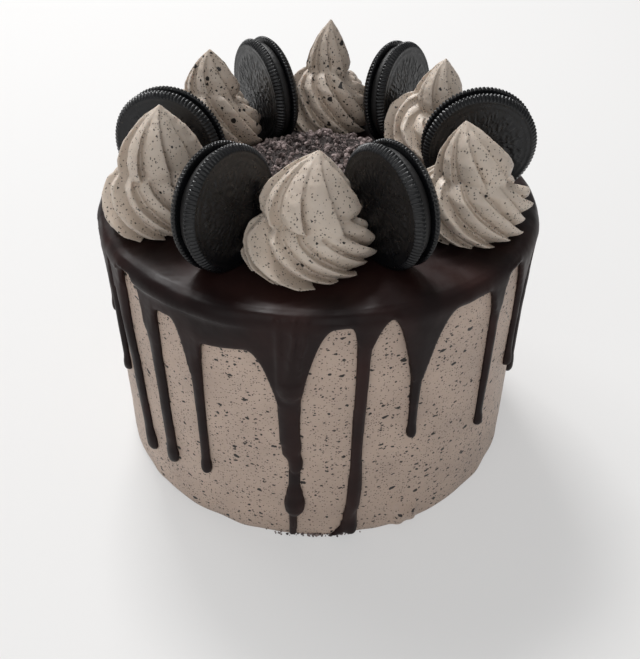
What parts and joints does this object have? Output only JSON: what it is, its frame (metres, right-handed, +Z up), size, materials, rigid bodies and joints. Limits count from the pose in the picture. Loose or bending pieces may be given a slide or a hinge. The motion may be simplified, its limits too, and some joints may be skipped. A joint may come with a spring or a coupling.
{
  "type": "layer cake",
  "caption": "Tall round layer cake, frosted and uncut, with chocolate ganache drips, piped swirls, upright sandwich cookies and a crumb mound on top.",
  "frame": {"origin": "centre of the flat base, where the cake rests on its stand or board", "axes": "+Z up; -Y towards the pictured side, with the front swirl there; +X to that side's right"},
  "size_m": [0.1723, 0.1723, 0.1542],
  "materials": {
    "frosting": "satin cookies-and-cream frosting with dark specks",
    "swirl_cream": "soft piped frosting with dark specks",
    "ganache": "semi-gloss dark chocolate",
    "wafer": "dry dark cocoa biscuit",
    "filling": "matt dark cocoa cream",
    "crumb": "dry rough cookie crumb"
  },
  "bodies": {
    "root": {"frosted_cake": "frosting", "ganache": "ganache", "crumb_mound": "crumb", "swirl_front": "swirl_cream", "swirl_right": "swirl_cream", "swirl_back_right": "swirl_cream", "swirl_back": "swirl_cream", "swirl_back_left": "swirl_cream", "swirl_left": "swirl_cream", "cookie_front_left_wafer_a": "wafer", "cookie_front_left_filling": "filling", "cookie_front_left_wafer_b": "wafer", "cookie_front_right_wafer_a": "wafer", "cookie_front_right_filling": "filling", "cookie_front_right_wafer_b": "wafer", "cookie_right_wafer_a": "wafer", "cookie_right_filling": "filling", "cookie_right_wafer_b": "wafer", "cookie_back_right_wafer_a": "wafer", "cookie_back_right_filling": "filling", "cookie_back_right_wafer_b": "wafer", "cookie_back_left_wafer_a": "wafer", "cookie_back_left_filling": "filling", "cookie_back_left_wafer_b": "wafer", "cookie_left_wafer_a": "wafer", "cookie_left_filling": "filling", "cookie_left_wafer_b": "wafer"}
  },
  "joints": []
}
